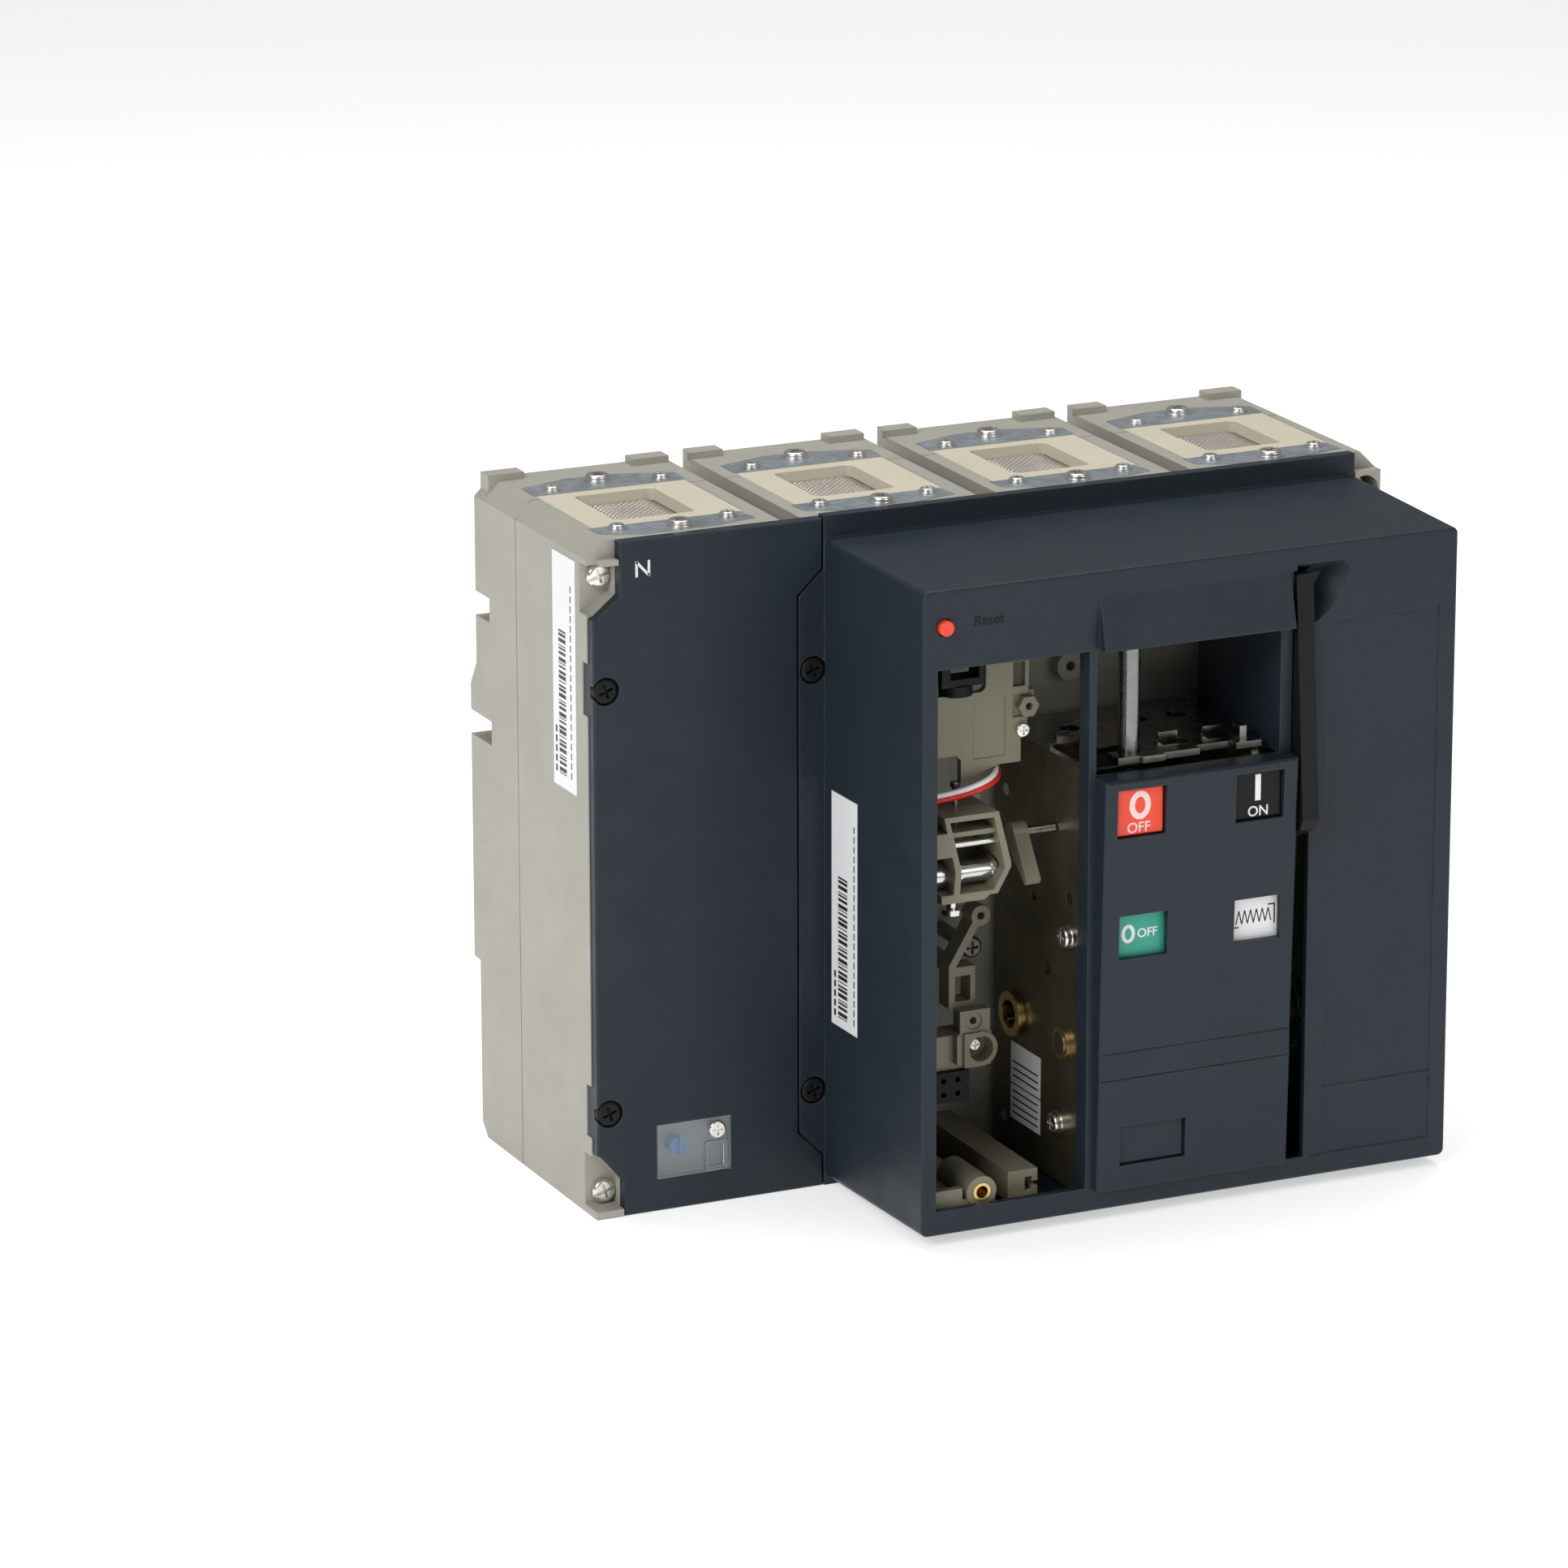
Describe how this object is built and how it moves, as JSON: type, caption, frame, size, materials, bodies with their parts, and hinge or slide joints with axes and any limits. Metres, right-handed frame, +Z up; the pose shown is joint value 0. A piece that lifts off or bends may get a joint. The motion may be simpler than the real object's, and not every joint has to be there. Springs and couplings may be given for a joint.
{
  "type": "air circuit breaker",
  "caption": "Multi-pole moulded air circuit breaker with arc chutes on top, push buttons, status flags, charging lever and an open control bay.",
  "frame": {"origin": "middle of the casing's underside: halfway along the row of poles and halfway through the casing's depth", "axes": "+X to the right along the row of poles seen from the front, +Y towards the back, +Z up"},
  "size_m": [0.2801, 0.182, 0.2243],
  "materials": {
    "casing_moulding": "satin glass-filled polyester",
    "cover_moulding": "fine spark-eroded texture",
    "arc_ceramic": "smooth",
    "zinc_plate": "passivated zinc",
    "bright_steel": "zinc plated",
    "gauze": "woven wire",
    "copper": "bare copper with silvered tips",
    "dark_steel": "oiled steel",
    "brass": "turned brass",
    "black_plastic": "fine texture",
    "red_plastic": "smooth",
    "green_plastic": "smooth",
    "white_plastic": "smooth",
    "blue_plastic": "smooth",
    "clear_plastic": "clear polycarbonate",
    "bay_moulding": "satin moulded polyamide",
    "lead_insulation": "smooth sleeve",
    "label_paper": "plastic-coated paper"
  },
  "bodies": {
    "casing": {"arc_cover_1": "arc_ceramic", "arc_cover_2": "arc_ceramic", "arc_cover_3": "arc_ceramic", "arc_cover_4": "arc_ceramic", "arc_gauzes": "gauze", "bay_tray": "bay_moulding", "blanking_insert": "cover_moulding", "bracket_arm": "bay_moulding", "brass_bushes": "brass", "button_panel": "cover_moulding", "carrier_plate": "bay_moulding", "casing_bolts": "bright_steel", "clamp_plates": "zinc_plate", "closing_spring": "dark_steel", "coil_leads": "lead_insulation", "connector_block": "bay_moulding", "contact_pins": "bright_steel", "cover_screws": "black_plastic", "frame_spacers": "bright_steel", "front_casing": "casing_moulding", "front_cover": "cover_moulding", "guide_rail": "bay_moulding", "labels": "label_paper", "large_chute_screws": "bright_steel", "left_side_plate": "zinc_plate", "lower_terminals": "copper", "neutral_cover": "cover_moulding", "rear_casing": "casing_moulding", "release_body": "bay_moulding", "release_rods": "bright_steel", "right_side_plate": "zinc_plate", "setting_window": "clear_plastic", "shelf_plate": "bright_steel", "small_chute_screws": "bright_steel", "small_screws": "bright_steel", "socket_strip": "black_plastic", "splitter_plates": "zinc_plate", "spring_clip": "black_plastic", "spring_guide": "dark_steel", "steel_column": "bright_steel", "upper_terminals": "copper"},
    "charging_handle": {"charging_handle": "black_plastic", "drive_pawl": "dark_steel"},
    "charging_shaft": {"charging_shaft": "dark_steel", "ratchet_wheel": "dark_steel", "closing_cam": "dark_steel"},
    "pole_shaft": {"pole_shaft": "dark_steel", "shaft_cranks": "dark_steel"},
    "moving_contacts": {"moving_contact_1": "copper", "moving_contact_2": "copper", "moving_contact_3": "copper", "moving_contact_4": "copper"},
    "contact_flag": {"contact_flag": "green_plastic"},
    "spring_flag": {"spring_flag": "white_plastic"},
    "off_button": {"off_button": "red_plastic"},
    "on_button": {"on_button": "black_plastic"},
    "reset_button": {"reset_button": "red_plastic"},
    "trip_lever": {"trip_lever": "bay_moulding"},
    "trip_plunger": {"trip_plunger": "bright_steel"},
    "neutral_dial": {"neutral_dial": "blue_plastic"}
  },
  "joints": [
    {"name": "charging_pull", "type": "hinge", "parent": "casing", "child": "charging_handle", "pos_m": [0.0738, -0.0993, 0.0553], "axis": [1, 0, 0], "range_deg": [0, 95], "stiffness_Nm_per_rad": 0.05, "springref_deg": -17.19},
    {"name": "charging_turn", "type": "hinge", "parent": "casing", "child": "charging_shaft", "pos_m": [0.04, -0.0993, 0.0553], "axis": [1, 0, 0], "range_deg": [0, 95], "deforming": ["closing_spring"]},
    {"name": "pole_shaft_turn", "type": "hinge", "parent": "casing", "child": "pole_shaft", "pos_m": [0, -0.028, 0.06], "axis": [1, 0, 0], "range_deg": [0, 40], "stiffness_Nm_per_rad": 0.5, "springref_deg": -22.92},
    {"name": "contact_swing", "type": "hinge", "parent": "casing", "child": "moving_contacts", "pos_m": [0, 0.002, 0.07], "axis": [1, 0, 0], "range_deg": [-15, 0]},
    {"name": "contact_flag_slide", "type": "slide", "parent": "casing", "child": "contact_flag", "axis": [0, 0, -1], "range_m": [0, 0.0145]},
    {"name": "spring_flag_slide", "type": "slide", "parent": "casing", "child": "spring_flag", "axis": [0, 0, -1], "range_m": [0, 0.0145]},
    {"name": "off_push", "type": "slide", "parent": "casing", "child": "off_button", "axis": [0, 1, 0], "range_m": [0, 0.0035], "stiffness_N_per_m": 400, "springref_m": -0.002},
    {"name": "on_push", "type": "slide", "parent": "casing", "child": "on_button", "axis": [0, 1, 0], "range_m": [0, 0.0035], "stiffness_N_per_m": 400, "springref_m": -0.002},
    {"name": "reset_push", "type": "slide", "parent": "casing", "child": "reset_button", "axis": [0, 1, 0], "range_m": [0, 0.003], "stiffness_N_per_m": 300, "springref_m": -0.002},
    {"name": "trip_lever_swing", "type": "hinge", "parent": "casing", "child": "trip_lever", "pos_m": [-0.015, -0.092, 0.125], "axis": [1, 0, 0], "range_deg": [0, 12]},
    {"name": "trip_plunger_slide", "type": "slide", "parent": "casing", "child": "trip_plunger", "axis": [0, 0, 1], "range_m": [0, 0.003], "stiffness_N_per_m": 60, "springref_m": -0.002},
    {"name": "neutral_dial_turn", "type": "hinge", "parent": "casing", "child": "neutral_dial", "pos_m": [-0.1104, -0.043, 0.0198], "axis": [0, 1, 0], "range_deg": [-90, 90]}
  ],
  "couplings": [
    {"joint": "charging_turn", "follows": "charging_pull", "ratio": 1},
    {"joint": "spring_flag_slide", "follows": "charging_pull", "m_per_rad": 0.0087},
    {"joint": "contact_swing", "follows": "pole_shaft_turn", "ratio": -0.37},
    {"joint": "contact_flag_slide", "follows": "pole_shaft_turn", "m_per_rad": 0.0207},
    {"joint": "trip_lever_swing", "follows": "trip_plunger_slide", "rad_per_m": 69.8}
  ]
}
